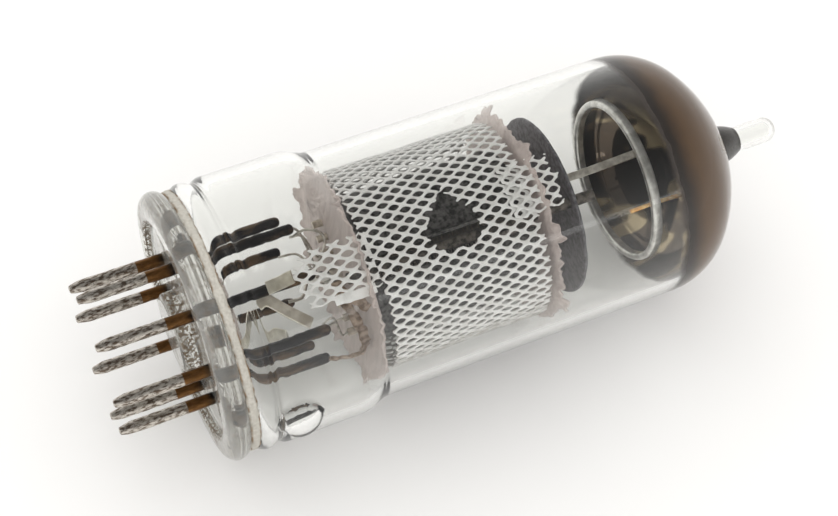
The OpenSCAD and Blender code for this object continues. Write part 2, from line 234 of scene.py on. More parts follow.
def rgb(red, green, blue):
    return (red, green, blue, 1.0)


# %% [markdown]
# Glass lets the light of the lamps through, but a plain glass surface throws a dark shadow, because
# Cycles can't easily find lamps through a bend. The usual answer is used: for shadow rays only, the
# glass turns into plain see-through. The eye still sees real bending at the walls.

# %% Clear glass
GLASS_IOR = 1.47


def see_through(finish, surface):
    shadow = finish.node("LightPath", out="Is Shadow Ray")
    clear = finish.node("BsdfTransparent", {}, {"Color": rgb(0.975, 0.975, 0.97)})
    return finish.blend(shadow, surface, clear)


def clear_glass():
    finish = Finish("clear_glass")
    smear = finish.ramp(finish.grain(3.0, 4.0, stretch=(0.4, 1, 1)), 0.66, 0.8)
    body = finish.skin(Base_Color=rgb(0.975, 0.98, 0.965), Roughness=smear * 0.02,
                       IOR=GLASS_IOR, Transmission_Weight=1.0)
    return finish.done(see_through(finish, body))


GLASS = clear_glass()


# %% [markdown]
# The pressed base is thicker glass, moulded hot, and a lifetime of handling leaves brown dirt in the
# corners where a cloth can't reach: round the pins and along the seal. The dirt is a matt skin that
# covers the glass where a patchy mask says so.

# %% Base glass with dirt in its corners
RECESS_OUT = BULB_R - 1.5
RECESS_IN = 3.3


def base_glass():
    finish = Finish("base_glass")
    along = finish.along()
    patch = finish.ramp(finish.grain(0.6, 7.0, stretch=(0.6, 1, 1)), 0.56, 0.64)
    near_seal = finish.ramp(along, 1.4, 2.0)
    corner = finish.ramp(abs(finish.off_axis() - RECESS_OUT), 0.45, 0.1)
    boss = finish.ramp(abs(finish.off_axis() - RECESS_IN), 0.35, 0.1)
    caked = finish.ramp(finish.grain(0.25, 6.0, seed=15.0), 0.46, 0.54) * (corner + boss) * 0.85
    dirt = patch * (0.3 + near_seal * 0.6) + caked * finish.ramp(along, 1.2, 0.8)
    crumbs = finish.grain(0.5, 3.0, seed=4.0)
    stain = finish.mix(crumbs, rgb(0.05, 0.028, 0.013), rgb(0.20, 0.14, 0.08))
    body = finish.skin(Base_Color=rgb(0.95, 0.96, 0.92), Roughness=0.04,
                       IOR=GLASS_IOR, Transmission_Weight=1.0)
    haze = finish.skin(Base_Color=rgb(0.66, 0.65, 0.61), Roughness=0.25)
    cloudy = finish.blend(0.06 + finish.grain(1.4, 5.0, seed=12.0) * 0.24, see_through(finish, body), haze)
    grime = finish.skin(Base_Color=stain, Roughness=0.7)
    return finish.done(finish.blend(dirt, cloudy, grime))


BASE_GLASS = base_glass()


# %% [markdown]
# Solder glass is ground powder that was melted just enough to stick. It stays grainy and opaque, cream
# to grey, and it browns where it meets the air at its edges.

# %% Sealing frit
SEAL_SHOWS = BULB_R + 0.05


def frit(low, high):
    finish = Finish("frit")
    along = finish.along()
    middle = (low + high) / 2
    edge = finish.ramp(abs(along - middle), 0.2, 0.36)
    sand = finish.grain(0.22, 5.0)
    cream = finish.mix(sand, rgb(0.30, 0.275, 0.23), rgb(0.70, 0.68, 0.62))
    brown = finish.mix(sand, rgb(0.07, 0.035, 0.015), rgb(0.35, 0.22, 0.11))
    outside = finish.ramp(finish.off_axis(), SEAL_SHOWS - 0.2, SEAL_SHOWS)
    patchy = edge * outside * finish.ramp(finish.grain(0.9, 5.0, seed=2.0), 0.4, 0.6)
    colour = finish.mix(patchy, cream, brown)
    body = finish.skin(Base_Color=colour, Roughness=0.75, Normal=finish.bump(sand, 0.12))
    return finish.done(body)


FRIT = frit(*span("sealing_frit"))


# %% [markdown]
# A pin has three lives. Its outer part has been pushed into sockets: it is worn silver with dark pits.
# Near the glass the plating ends in a crisp line and the metal is copper-brown. Inside the bulb the
# heat of sealing left it blue-black and brown, and no socket has ever rubbed it.

# %% Worn pins
PLATING_END = -1.7
GLASS_START = 0.2


def worn_pin():
    finish = Finish("worn_pin")
    along = finish.along()
    waver = (finish.grain(0.8, 3.0) - 0.5) * 0.5
    bare = finish.ramp(along + waver * 0.3, PLATING_END, PLATING_END + 0.1)
    inside = finish.ramp(along + waver, GLASS_START - 0.5, GLASS_START + 0.3)
    spots = finish.ramp(finish.grain(0.1, 4.0, seed=3.0), 0.60, 0.66)
    patches = finish.ramp(finish.grain(0.4, 5.0, stretch=(0.6, 1, 1), seed=4.0), 0.38, 0.56)
    pits = spots * patches
    patina = finish.grain(0.16, 5.0, stretch=(0.35, 1, 1), seed=5.0)
    silver = finish.mix(finish.ramp(patina, 0.38, 0.60), rgb(0.15, 0.115, 0.088), rgb(0.62, 0.58, 0.52))
    silver = finish.mix(pits, silver, rgb(0.025, 0.018, 0.014))
    copper = finish.mix(patina, rgb(0.03, 0.013, 0.005), rgb(0.30, 0.15, 0.055))
    blued = finish.mix(finish.ramp(finish.grain(1.3, 4.0, stretch=(0.4, 1, 1), seed=8.0), 0.45, 0.62),
                       rgb(0.012, 0.011, 0.012), rgb(0.10, 0.065, 0.038))
    colour = finish.mix(bare, silver, copper)
    colour = finish.mix(inside, colour, blued)
    rough = 0.22 + patina * 0.2 + pits * 0.3
    height = finish.grain(0.35, 6.0, seed=6.0) * 0.6 + (1 - pits) * 0.4
    body = finish.skin(Base_Color=colour, Metallic=1 - pits * 0.7, Roughness=rough,
                       Normal=finish.bump(height, 0.07))
    return finish.done(body)


WORN_PIN = worn_pin()


# %% [markdown]
# Mica splits into thin sheets of stone. It lets some light through, looks faintly pink, and shows fine
# streaks where its layers part. A smudge of getter metal or soot often darkens one place.

# %% Mica
def mica_finish():
    finish = Finish("mica")
    streak = finish.grain(0.5, 5.0, stretch=(1, 1, 0.12), seed=1.0)
    smudge = finish.ramp(finish.grain(3.0, 3.0, seed=9.0), 0.62, 0.78)
    colour = finish.mix(streak, rgb(0.60, 0.50, 0.47), rgb(0.86, 0.78, 0.75))
    colour = finish.mix(smudge, colour, rgb(0.22, 0.18, 0.17))
    body = finish.skin(Base_Color=colour, Roughness=0.3 + streak * 0.25, IOR=1.56,
                       Normal=finish.bump(streak, 0.08))
    clear = finish.node("BsdfTransparent", {}, {"Color": rgb(0.93, 0.89, 0.87)})
    return finish.done(finish.blend(0.42 + streak * 0.3 + smudge * 0.3, clear, body))


MICA = mica_finish()


# %% [markdown]
# The metals inside differ mostly in colour, in how bright they are and in how patchy. One function
# makes them all: a dark and a light tone mixed by a noise, a roughness, and a fine grain that is
# drawn out along the axis for sheet and wire.

# %% Metals of the cage
def metal(name, dark, light, rough, size=0.6, depth=0.02, shine=1.0):
    finish = Finish(name)
    cloud = finish.ramp(finish.grain(size, 5.0), 0.36, 0.64)
    fine = finish.grain(size * 0.2, 3.0, stretch=(0.4, 1, 1), seed=7.0)
    colour = finish.mix(cloud, rgb(*dark), rgb(*light))
    body = finish.skin(Base_Color=colour, Metallic=shine, Roughness=rough + fine * 0.2,
                       Normal=finish.bump(fine, depth))
    return finish.done(body)


NICKEL = metal("nickel", (0.34, 0.31, 0.27), (0.66, 0.63, 0.57), 0.3, 0.8)
BRIGHT_STRIP = metal("bright_strip", (0.62, 0.58, 0.49), (0.9, 0.87, 0.78), 0.24, 1.2)
RING_METAL = metal("ring_metal", (0.50, 0.49, 0.46), (0.78, 0.77, 0.74), 0.26, 0.9)
GRID_WIRE = metal("grid_wire", (0.45, 0.40, 0.33), (0.72, 0.67, 0.58), 0.3, 0.5)
# Painted glint: the wire end's bright orange stands in for light caught through the getter film.
PAINTED_GLINT_WIRE = metal("gold_wire", (0.80, 0.34, 0.04), (1.0, 0.66, 0.20), 0.3, 0.5, 0.02, 0.4)
BROWN_LEAD = metal("brown_lead", (0.16, 0.10, 0.06), (0.48, 0.38, 0.30), 0.45, 0.5, 0.06, 0.7)
SLATE = metal("slate_plate", (0.08, 0.078, 0.086), (0.18, 0.175, 0.19), 0.42, 0.35, 0.03, 0.45)
DARK_POST = metal("dark_post", (0.03, 0.026, 0.022), (0.16, 0.14, 0.12), 0.4, 0.5, 0.03, 0.8)
ANODE = metal("anode_sheet", (0.012, 0.011, 0.010), (0.15, 0.145, 0.14), 0.5, 0.4, 0.06, 0.4)


# %% [markdown]
# The mesh is pale, rough steel, and it looks almost white where the light falls on it. A real mirror
# would only repeat the dark room, so this finish is mostly a matt one with a little metal in it. Its
# underside is darkened and browned as painted shade, so the finish also asks how high each point lies.

# %% Mesh steel
def mesh_steel():
    """Bright on top, with painted shade darkening and browning its underside."""
    finish = Finish("mesh_steel")
    cloud = finish.grain(0.9, 5.0)
    fine = finish.grain(0.18, 3.0, seed=7.0)
    bright = finish.mix(finish.ramp(cloud, 0.36, 0.64), rgb(0.84, 0.83, 0.81), rgb(0.98, 0.975, 0.965))
    brown = finish.mix(fine, rgb(0.05, 0.038, 0.03), rgb(0.30, 0.25, 0.20))
    # Painted shade: the lower side of the mesh, as the valve lies, is darkened and browned.
    painted_underside_shade = finish.ramp(finish.height() + (cloud - 0.5) * 6, 1.0, -4.0) * 0.7
    body = finish.skin(Base_Color=finish.mix(painted_underside_shade, bright, brown), Metallic=0.12,
                       Roughness=0.38 + fine * 0.2, Normal=finish.bump(fine, 0.03))
    return finish.done(body)


MESH_STEEL = mesh_steel()


# %% [markdown]
# Two finishes are left that are no metal. The heater wears a chalky white coat that keeps it from
# touching the cathode, and the root of the exhaust stub holds a glossy black crust of getter metal.
# Both are a noise between two tones; one is rough and the other is smooth under a clear coat.

# %% Heater coat and black deposit
def heater_coat():
    finish = Finish("heater_coat")
    chalk = finish.grain(0.15, 4.0)
    colour = finish.mix(chalk, rgb(0.78, 0.77, 0.73), rgb(0.94, 0.93, 0.9))
    return finish.done(finish.skin(Base_Color=colour, Roughness=0.85, Normal=finish.bump(chalk, 0.05)))


def black_deposit():
    finish = Finish("black_deposit")
    cloud = finish.grain(0.6, 4.0)
    colour = finish.mix(cloud, rgb(0.012, 0.011, 0.010), rgb(0.05, 0.042, 0.036))
    return finish.done(finish.skin(Base_Color=colour, Roughness=0.08 + cloud * 0.15, Coat_Weight=1.0))


HEATER_COAT = heater_coat()
BLACK_DEPOSIT = black_deposit()


# %% [markdown]
# The getter is a metal that was flashed onto the inside of the dome to catch stray gas. Seen through
# the glass it is a taupe satin; seen from inside it is a dark mirror, with a painted golden reflection
# low down. Its edge was sprayed from the ring, so it fades out. Two finishes share one mask, one for
# each side.

# %% Getter film
FILM_EDGE = span("getter_film")[0]


def film(name, inner):
    finish = Finish(name)
    along = finish.along()
    cloud = finish.grain(2.2, 5.0, seed=2.0)
    specks = finish.grain(0.28, 6.0, seed=3.0)
    edge = along + (cloud - 0.5) * 0.8 + (specks - 0.5) * 0.25
    cover = finish.ramp(edge, FILM_EDGE + 0.05, FILM_EDGE + 0.9)
    dark = finish.ramp(edge, FILM_EDGE + 2.6, FILM_EDGE + 0.9)
    if inner:
        tone = finish.mix(cloud, rgb(0.03, 0.02, 0.013), rgb(0.11, 0.078, 0.052))
        # Painted reflection: soft golden patches on the lower part of the inner face stand in for mirrored
        # light.
        reflection_swirl = finish.ramp(finish.grain(2.4, 1.0, stretch=(0.3, 1, 1), seed=6.0), 0.52, 0.60)
        painted_reflection = reflection_swirl * finish.ramp(finish.height(), 0.0, -3.5) * 0.8
        tone = finish.mix(painted_reflection, tone, rgb(0.62, 0.50, 0.30))
        body = finish.skin(Base_Color=tone, Metallic=1 - painted_reflection * 0.6, Roughness=0.04 + cloud * 0.08,
                           Coat_Weight=0.5)
    else:
        tone = finish.mix(cloud, rgb(0.125, 0.064, 0.026), rgb(0.175, 0.098, 0.044))
        tone = finish.mix(dark, tone, rgb(0.03, 0.022, 0.018))
        body = finish.skin(Base_Color=tone, Metallic=0.1, Roughness=0.5 + cloud * 0.12)
    clear = finish.node("BsdfTransparent")
    return finish.done(finish.blend(cover, clear, body))


FILM_OUT = film("getter_film_outside", False)
FILM_IN = film("getter_film_inside", True)


# %% [markdown]
# Pieces are made from lists of points and faces. One helper turns such lists into an object, gives it
# its finish, hangs it on the body it rides on, and hides the plain CAD node that it stands for.

# %% Making a piece
SHARP = math.radians(40)


def piece(name, points, faces, material, slot, node=None):
    mesh = bpy.data.meshes.new(name)
    mesh.from_pydata([tuple(p) for p in points], [], faces)
    mesh.validate()
    mesh.materials.append(material)
    mesh.shade_smooth()
    mesh.set_sharp_from_angle(angle=SHARP)
    made = bpy.data.objects.new(name, mesh)
    bpy.context.scene.collection.objects.link(made)
    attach(made, "root")
    if node:
        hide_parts(node)
    print("piece", name, len(points), "points")
    return made


def turn(profile, segments=144):
    """Points and faces of a profile of (x, r) in millimetres turned round the axis."""
    points, faces, rings = [], [], []
    for x, r in profile:
        if r < 1e-6:
            rings.append([len(points)] * segments)
            points.append(at(x, 0, 0))
        else:
            rings.append(list(range(len(points), len(points) + segments)))
            points.extend(at(x, r, 360 * k / segments) for k in range(segments))
    for low, high in zip(rings, rings[1:]):
        for k in range(segments):
            after = (k + 1) % segments
            corners = [low[k], high[k], high[after], low[after]]
            face = [c for i, c in enumerate(corners) if c != corners[i - 1]]
            if len(face) > 2:
                faces.append(face)
    return points, faces


def arc(centre_x, centre_r, radius, start, end, steps):
    """Points of a profile along an arc. 0 degrees points along the axis and 90 outwards."""
    turns = [math.radians(start + (end - start) * k / steps) for k in range(steps + 1)]
    return [(centre_x + radius * math.cos(t), centre_r + radius * math.sin(t)) for t in turns]


def line(start, end, steps):
    """Evenly spaced points of a profile along a straight line, without its last point."""
    return [(start[0] + (end[0] - start[0]) * k / steps,
             start[1] + (end[1] - start[1]) * k / steps) for k in range(steps)]


# %% [markdown]
# The bulb is one drawn tube: a wider skirt with a rounded foot, a soft shoulder, a long straight side,
# a knuckle and a crown. It is made as a closed shell with an outer and an inner wall, because only a
# wall with two sides bends light as glass does. The pip is a bump raised in the same shell.

# %% Bulb outline
WALL = 0.8
KNUCKLE_R = 6.1
CROWN_R = 12.0
ROOT_R = 1.75
SKIRT_R = BULB_R + 0.65
FOOT_X = span("bulb_glass")[0]
SHOULDER_X = FOOT_X + 9.4
NECK_X = SHOULDER_X + 1.3
crown_x = span("bulb_glass")[1] - math.sqrt(CROWN_R ** 2 - ROOT_R ** 2)
knuckle_y = BULB_R - KNUCKLE_R
dome_x = crown_x + math.sqrt((CROWN_R - KNUCKLE_R) ** 2 - knuckle_y ** 2)
print("dome starts at", round(dome_x, 2), "mm")


def dome(inset, hole):
    """The knuckle and the crown, drawn in by inset, down to a hole of radius hole."""
    meet = math.degrees(math.atan2(knuckle_y, dome_x - crown_x))
    last = math.degrees(math.asin(hole / (CROWN_R - inset)))
    knuckle = arc(dome_x, knuckle_y, KNUCKLE_R - inset, 90, meet, 16)
    crown = arc(crown_x, 0, CROWN_R - inset, meet, last, 16)
    return knuckle + crown[1:]


WAIST_X = FOOT_X + 1.75
WAIST_DEPTH = 0.3
WAIST_LEN = 0.42


def waist(x):
    """How far the wall is pinched in just above the foot, where it was melted to the base."""
    return WAIST_DEPTH * math.exp(-((x - WAIST_X) / WAIST_LEN) ** 2)


def side(inset, foot):
    """The foot, the skirt, the shoulder and the straight side, drawn in by inset."""
    skirt = SKIRT_R - inset
    bulb = BULB_R - inset
    outline = arc(FOOT_X + foot, skirt - foot, foot, 180, 90, 8)
    outline += line((FOOT_X + foot, skirt), (SHOULDER_X - 0.6, skirt), 56)[1:]
    for k in range(13):
        share = k / 12
        ease = share * share * (3 - 2 * share)
        slope_x = SHOULDER_X - 0.6 + share * (NECK_X - SHOULDER_X + 1)
        outline.append((slope_x, skirt + (bulb - skirt) * ease))
    outline += line((NECK_X + 0.4, bulb), (dome_x, bulb), 12)[1:]
    return [(x, r - waist(x)) for x, r in outline]


# %% [markdown]
# The pip is a hollow blister on the skirt, which shows a hand which way round to plug the valve in. A
# separate dome could be set on the skirt, but two glasses that meet show a false wall between them.
# So the points of both walls are pushed out round the pip's centre, and the glass stays one piece.

# %% Bulb
PIP_X = 5.6
PIP_R = 1.75
PIP_H = 1.0


def raise_pip(point):
    """Moves a point of either wall out where the pip is."""
    x, y, z = (v / MM for v in point)
    out = math.hypot(y, z)
    off = math.hypot(x - PIP_X, SKIRT_R * math.atan2(z, -y))
    if out < SKIRT_R - WALL - 0.2 or off > PIP_R:
        return point
    rise = PIP_H * (1 - (off / PIP_R) ** 2.4) ** 0.9
    return Vector((x, y * (out + rise) / out, z * (out + rise) / out)) * MM


outer = [(FOOT_X, SKIRT_R - 1.3)] + side(0, 0.9) + dome(0, ROOT_R)
inner = side(WALL, 0.5) + dome(WALL, ROOT_R - 0.35)
shell = outer + inner[::-1] + [outer[0]]
points, faces = turn(shell, 360)
bulb = piece("bulb", [raise_pip(p) for p in points], faces, GLASS, "clear_glass", "bulb_glass")


# %% [markdown]
# The exhaust stub is where the pump was melted off. It is a short glass tube with a tapered root and a
# rounded, closed end. A black crust sits in its root.

# %% Exhaust stub and deposit
ROOT_X = span("exhaust_stub")[0]
TIP_X = span("exhaust_stub")[1]
STUB_R = 1.075
STUB_WALL = 0.45
ROOT_LEN = 2.6


def stub_profile(inset):
    root = ROOT_R - inset
    tube = STUB_R - inset
    end = TIP_X - STUB_R
    flare = []
    for k in range(13):
        share = k / 12
        flare.append((ROOT_X + share * ROOT_LEN, root + (tube - root) * share ** 2.2))
    return flare + line((ROOT_X + ROOT_LEN, tube), (end, tube), 6)[1:] + arc(end, 0, tube, 90, 0, 10)


points, faces = turn(stub_profile(0) + stub_profile(STUB_WALL)[::-1] + [stub_profile(0)[0]], 64)
stub = piece("exhaust_stub_glass", points, faces, GLASS, "clear_glass", "exhaust_stub")

crust = stub_profile(0.08)[:12]
crust_end = [(ROOT_X + ROOT_LEN, 0.8), (ROOT_X + ROOT_LEN + 0.15, 0.4), (ROOT_X + ROOT_LEN + 0.2, 0)]
hollow = [(ROOT_X + 1.5, 0), (ROOT_X + 0.9, 0.5), (ROOT_X, crust[0][1] - 0.2)]
points, faces = turn(crust + crust_end + hollow + [crust[0]], 48)
deposit = piece("black_crust", points, faces, BLACK_DEPOSIT, "black_deposit", "stub_deposit")


# %% [markdown]
# The film lies on the inner wall of the dome. It is a very thin closed shell, so that each side can
# have its own finish. Its outer face is set a hair into the glass: with air between the two, the
# glass would mirror the light instead of showing the film.

# %% Film in the dome
FILM_INTO_GLASS = 0.03
FILM_T = 0.08


def film_side(inset):
    straight = line((FILM_EDGE, BULB_R - inset), (dome_x, BULB_R - inset), 6)
    return straight + dome(inset, ROOT_R - 0.35)


front = film_side(WALL - FILM_INTO_GLASS)
back = film_side(WALL - FILM_INTO_GLASS + FILM_T)
points, faces = turn(front + back[::-1] + [front[0]], 144)
film_piece = piece("getter_mirror", points, faces, FILM_OUT, "getter_film", "getter_film")
film_piece.data.materials.append(FILM_IN)
first_back = len(front)
for face in film_piece.data.polygons:
    ring = face.vertices[0] // 144
    face.material_index = 1 if ring >= first_back else 0


# %% [markdown]
# The base was pressed in a mould: a rounded rim to sit on, a ring-shaped recess that the pins leave
# from, and a boss in the middle. On its inner side the glass climbs a little way up each pin in a bead.
# The beads are raised in the turned mesh, where the floor has enough rings to carry them.

# %% Pressed base
RIM_H = 1.9
RIM_R = SKIRT_R + 0.05
FLOOR_H = 2.4
FLOOR_R = BULB_R - WALL - 0.4
BOSS_R = 3.2
BOSS_H = 0.9
RECESS_H = 0.5
SEAT_R = RIM_R - 2.2
PIN_RING = 5.75
PIN_R = 0.5
BEAD_R = 1.15
BEAD_H = 0.75
FIRST_PIN = 22.5
PIN_STEP = 45


def raise_beads(point):
    """Lifts the inner floor round each pin."""
    x, y, z = (v / MM for v in point)
    if abs(x - FLOOR_H) > 0.01:
        return point
    angle = math.degrees(math.atan2(z, -y))
    nearest = FIRST_PIN + PIN_STEP * round((angle - FIRST_PIN) / PIN_STEP)
    off = (at(x, math.hypot(y, z), angle) - at(x, PIN_RING, nearest)).length / MM
    if off > BEAD_R:
        return point
    return Vector((x + BEAD_H * (1 - (off / BEAD_R) ** 2) ** 0.8, y, z)) * MM


under = [(-BOSS_H, 0), (-BOSS_H, BOSS_R - 0.5)] + arc(-BOSS_H + 0.45, BOSS_R - 0.45, 0.45, 180, 90, 6)
under += [(RECESS_H - 0.15, BOSS_R + 0.03), (RECESS_H, BOSS_R + 0.2), (RECESS_H, SEAT_R - 0.2)]
under += [(RECESS_H - 0.12, SEAT_R), (0.12, SEAT_R + 0.03), (0, SEAT_R + 0.2)]
rim = arc(RIM_H / 2, RIM_R - RIM_H / 2, RIM_H / 2, 180, 0, 20)
top = [(RIM_H, FLOOR_R + 0.1), (FLOOR_H - 0.1, FLOOR_R)] + line((FLOOR_H, FLOOR_R - 0.1), (FLOOR_H, 0), 60)
points, faces = turn(under + rim + top + [(FLOOR_H, 0)], 240)
points = [raise_beads(p) for p in points]
base = piece("pressed_base", points, faces, BASE_GLASS, "base_glass", "glass_base")


# %% [markdown]
# The seal is a lumpy line of solder glass. It fills the groove between the rounded rim of the base and
# the rounded foot of the bulb. Its ring is turned, then each point is moved in or out by two noises,
# a coarse one and a fine one, so that its edge is uneven as well as grainy.

# %% Sealing ring
SEAL_LOW, SEAL_HIGH = span("sealing_frit")
SEAL_R = SKIRT_R - 0.55


def lumpy(point, size, depth, seed):
    """A point moved by a noise whose lumps are size millimetres wide."""
    shift = noise.noise_vector(point / MM / size + Vector((seed, seed, seed)))
    return point + shift * depth * MM


SEAL_HALF = 0.44
seal_x = (SEAL_LOW + SEAL_HIGH) / 2
seal = [(x, SEAL_R + (r - SEAL_R) * 0.6) for x, r in arc(seal_x, SEAL_R, SEAL_HALF, 180, 0, 12)]
seal += [(SEAL_HIGH, SKIRT_R - 0.95), (SEAL_HIGH, FLOOR_R + 0.15)]
seal += [(SEAL_LOW, FLOOR_R + 0.15), (SEAL_LOW, SKIRT_R - 0.95), seal[0]]
points, faces = turn(seal, 480)
points = [lumpy(lumpy(p, 0.5, 0.1, 3.0), 0.2, 0.06, 8.0) for p in points]
piece("solder_glass_seal", points, faces, FRIT, "frit", "sealing_frit")


# %% [markdown]
# Eight pins leave the base on one circle. Each is one rod from its blunt tip to its end inside the
# bulb. The shape is a turned profile, and the pits and dents are real: every point is pushed in by a
# noise, more so on the part inside the bulb.

# %% Pins
INSIDE_TAPER = 0.14


def pin(number):
    node = "pin_%d" % number
    low, high = span(node)
    corner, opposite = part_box(node)
    centre = Vector((0, (corner[1] + opposite[1]) / 2, (corner[2] + opposite[2]) / 2))
    profile = [(low, 0), (low, 0.2), (low + 0.06, 0.31), (low + 0.5, 0.42), (low + 0.9, PIN_R - 0.01)]
    profile += line((low + 1.0, PIN_R), (high - 0.35, PIN_R), 110)
    profile += arc(high - 0.4, 0.1, 0.4, 90, 0, 6) + [(high, 0)]
    points, faces = turn(profile, 28)
    worn = []
    for point in points:
        x = point[0] / MM
        inside = min(max((x - FLOOR_H) / 0.8, 0.0), 1.0)
        deep = noise.fractal(point / MM * 1.9 + Vector((number * 7, 0, 0)), 1.0, 2.0, 4)
        dent = 1 - (0.07 + 0.1 * inside) * max(deep, -0.2) - 0.012 - INSIDE_TAPER * inside
        worn.append(Vector((point[0], point[1] * dent, point[2] * dent)) + centre)
    return piece("base_pin_%d" % number, worn, faces, WORN_PIN, "worn_pin", node)


pins = [pin(number) for number in range(1, 9)]


def pin_angle(number):
    return FIRST_PIN + (number - 1) * PIN_STEP


# %% [markdown]
# The two micas hold the cage square and keep it from touching the glass. Their rims are torn, and
# eight ears reach out to the bulb, where they are crushed and bent as the cage is pushed in. Each mica
# is a round sheet of fine rings whose edge follows the ears.

# %% Micas
MICA_BODY_R = 8.7
MICA_TEAR = 0.32
MICA_R = reach("top_mica")
EAR_STEP = 45
EAR_HALF = 5.4


def mica_edge(angle, seed):
    """How far a mica reaches at a clock angle, and how far its ear is bent along the axis."""
    off = (angle + EAR_STEP / 2) % EAR_STEP - EAR_STEP / 2
    tear = noise.noise(Vector((angle * 0.35, seed, 0))) * MICA_TEAR
    ear = max(0.0, min(1.0, (EAR_HALF - abs(off)) / 0.9))
    ragged = noise.noise(Vector((angle * 0.9, seed, 5))) * 0.25 - 0.12
    return MICA_BODY_R + tear + ear * (MICA_R - MICA_BODY_R + ragged - abs(tear)), ear


def mica_sheet(name, node, bend, seed):
    low, high = span(node)
    middle = (low + high) / 2
    steps, segments = 44, 360
    points, faces = [at(middle, 0, 0)], []
    for ring in range(1, steps + 1):
        share = ring / steps
        for k in range(segments):
            angle = 360 * k / segments
            edge, ear = mica_edge(angle, seed)
            inner_part = min(share / 0.8, 1.0) * (MICA_BODY_R - 0.5)
            outer_part = max(share - 0.8, 0.0) / 0.2 * (edge - MICA_BODY_R + 0.5)
            out = min(inner_part + outer_part, MICA_R - 0.05)
            crush = max(0.0, out - MICA_BODY_R + 0.7)
            ripple = noise.noise(Vector((angle * 0.28, out * 1.1, seed))) * (0.04 + crush * 0.55)
            x = middle + bend * crush * (0.25 + 0.2 * ear) + ripple
            points.append(at(x, out, angle))
    for k in range(segments):
        faces.append([0, 1 + k, 1 + (k + 1) % segments])
    for ring in range(steps - 1):
        first = 1 + ring * segments
        for k in range(segments):
            after = (k + 1) % segments
            faces.append([first + k, first + segments + k, first + segments + after, first + after])
    sheet = piece(name, points, faces, MICA, "mica", node)
    wall = sheet.modifiers.new("sheet", "SOLIDIFY")
    wall.thickness = 0.2 * MM
    wall.offset = 0
    return sheet


mica_sheet("bottom_mica_sheet", "bottom_mica", -1, 2.0)
mica_sheet("top_mica_sheet", "top_mica", 1, 8.0)


# %% [markdown]
# Above the cage a slate-grey disc shields it from the getter's flash. Its rim is rolled over, and a
# shallow ring is pressed into its face inside the rim.

# %% Shield disc
DISC_LOW, DISC_HIGH = span("shield_disc")
DISC_R = reach("shield_disc")
profile = [(DISC_LOW, 0), (DISC_LOW, DISC_R - 0.5)]
profile += arc((DISC_LOW + DISC_HIGH) / 2, DISC_R - 0.15, 0.15, 180, 0, 8)
profile += [(DISC_HIGH, DISC_R - 0.35), (DISC_HIGH - 0.06, DISC_R - 0.6), (DISC_HIGH - 0.06, 4.6)]
profile += [(DISC_HIGH, 4.3), (DISC_HIGH, 0)]
points, faces = turn(profile, 180)
points = [lumpy(p, 0.9, 0.05, 6.0) for p in points]
piece("shield_plate", points, faces, SLATE, "slate_plate", "shield_disc")


# %% [markdown]
# The screen is expanded metal: a sheet is slit and pulled open, so the holes are diamonds, the strands
# lie at a slant and the places where they meet are thick. It is laid out flat as rows of diamond
# cells, each with a rounded hole, then rolled to the cage's radius. The edge of each hole is lifted on
# one side and sunk on the other, which gives the strands their slant.

# %% Expanded metal
SCREEN_R = reach("mesh_screen") - 0.08
CELLS_ROUND = 57
CELL_W = 2 * math.pi * SCREEN_R / CELLS_ROUND
CELL_L = 1.48
HOLE_L = 0.45
HOLE_W = 0.25
FACING = 59.85


def cell_rim(steps=3):
    """The corners and edge points of one diamond cell, from its centre."""
    corners = [(CELL_L / 2, 0), (0, CELL_W / 2), (-CELL_L / 2, 0), (0, -CELL_W / 2)]
    return [p for a, b in zip(corners, corners[1:] + corners[:1]) for p in line(a, b, steps)]


def cell_hole(steps=3):
    """The rounded hole of one cell, with as many points as its rim."""
    count = 4 * steps
    hole = []
    for k in range(count):
        turn_by = 2 * math.pi * k / count
        c, s = math.cos(turn_by), math.sin(turn_by)
        hole.append((HOLE_L * math.copysign(abs(c) ** 1.25, c), HOLE_W * math.copysign(abs(s) ** 1.25, s)))
    return hole


def expanded(x_low, x_high, s_low, s_high, radius, keep, shift=0.0, seed=0.0):
    """Points and faces of a rolled patch. s is the distance round from the side that faces us."""
    rim_points, hole_points = cell_rim(), cell_hole()
    index, points, faces = {}, [], []

    def vertex(x, s, lift):
        wrapped = round((s % (2 * math.pi * SCREEN_R)) * 100) % round(2 * math.pi * SCREEN_R * 100)
        key = (round(x * 100), wrapped, lift)
        if key not in index:
            index[key] = len(points)
            sway = noise.noise_vector(Vector((x * 0.9 + seed, s * 0.9, seed))) * 0.05
            angle = FACING - math.degrees((s + sway[1]) / SCREEN_R)
            dent = noise.noise(Vector((x * 0.25, math.sin(s / SCREEN_R) * 2, math.cos(s / SCREEN_R) * 2)))
            points.append(at(x + sway[0], radius + lift + dent * 0.12 + sway[2] * 0.5, angle))
        return index[key]

    columns = int((x_high - x_low) / (CELL_L / 2)) + 2
    for m in range(columns):
        x = x_low + shift + m * CELL_L / 2
        for n in range(int(s_low / CELL_W) - 1, int(s_high / CELL_W) + 1):
            s = (n + m % 2 / 2) * CELL_W
            if s < s_low or s >= s_high:
                continue
            for k in range(12):
                a, b = rim_points[k], rim_points[(k + 1) % 12]
                c, d = hole_points[(k + 1) % 12], hole_points[k]
                centre = ((a[0] + b[0] + c[0] + d[0]) / 4 + x, (a[1] + b[1] + c[1] + d[1]) / 4 + s)
                if not keep(*centre):
                    continue
                face = [vertex(x + p[0], s + p[1], 0) for p in (a, b)]
                face += [vertex(x + p[0], s + p[1], round(-p[1] * 0.2, 3)) for p in (c, d)]
                faces.append(face)
    return points, faces


def thicken(made, thickness):
    wall = made.modifiers.new("sheet", "SOLIDIFY")
    wall.thickness = thickness * MM
    wall.offset = 0
    soft = made.modifiers.new("rounded", "SUBSURF")
    soft.levels = 1
    soft.render_levels = 1
    return made


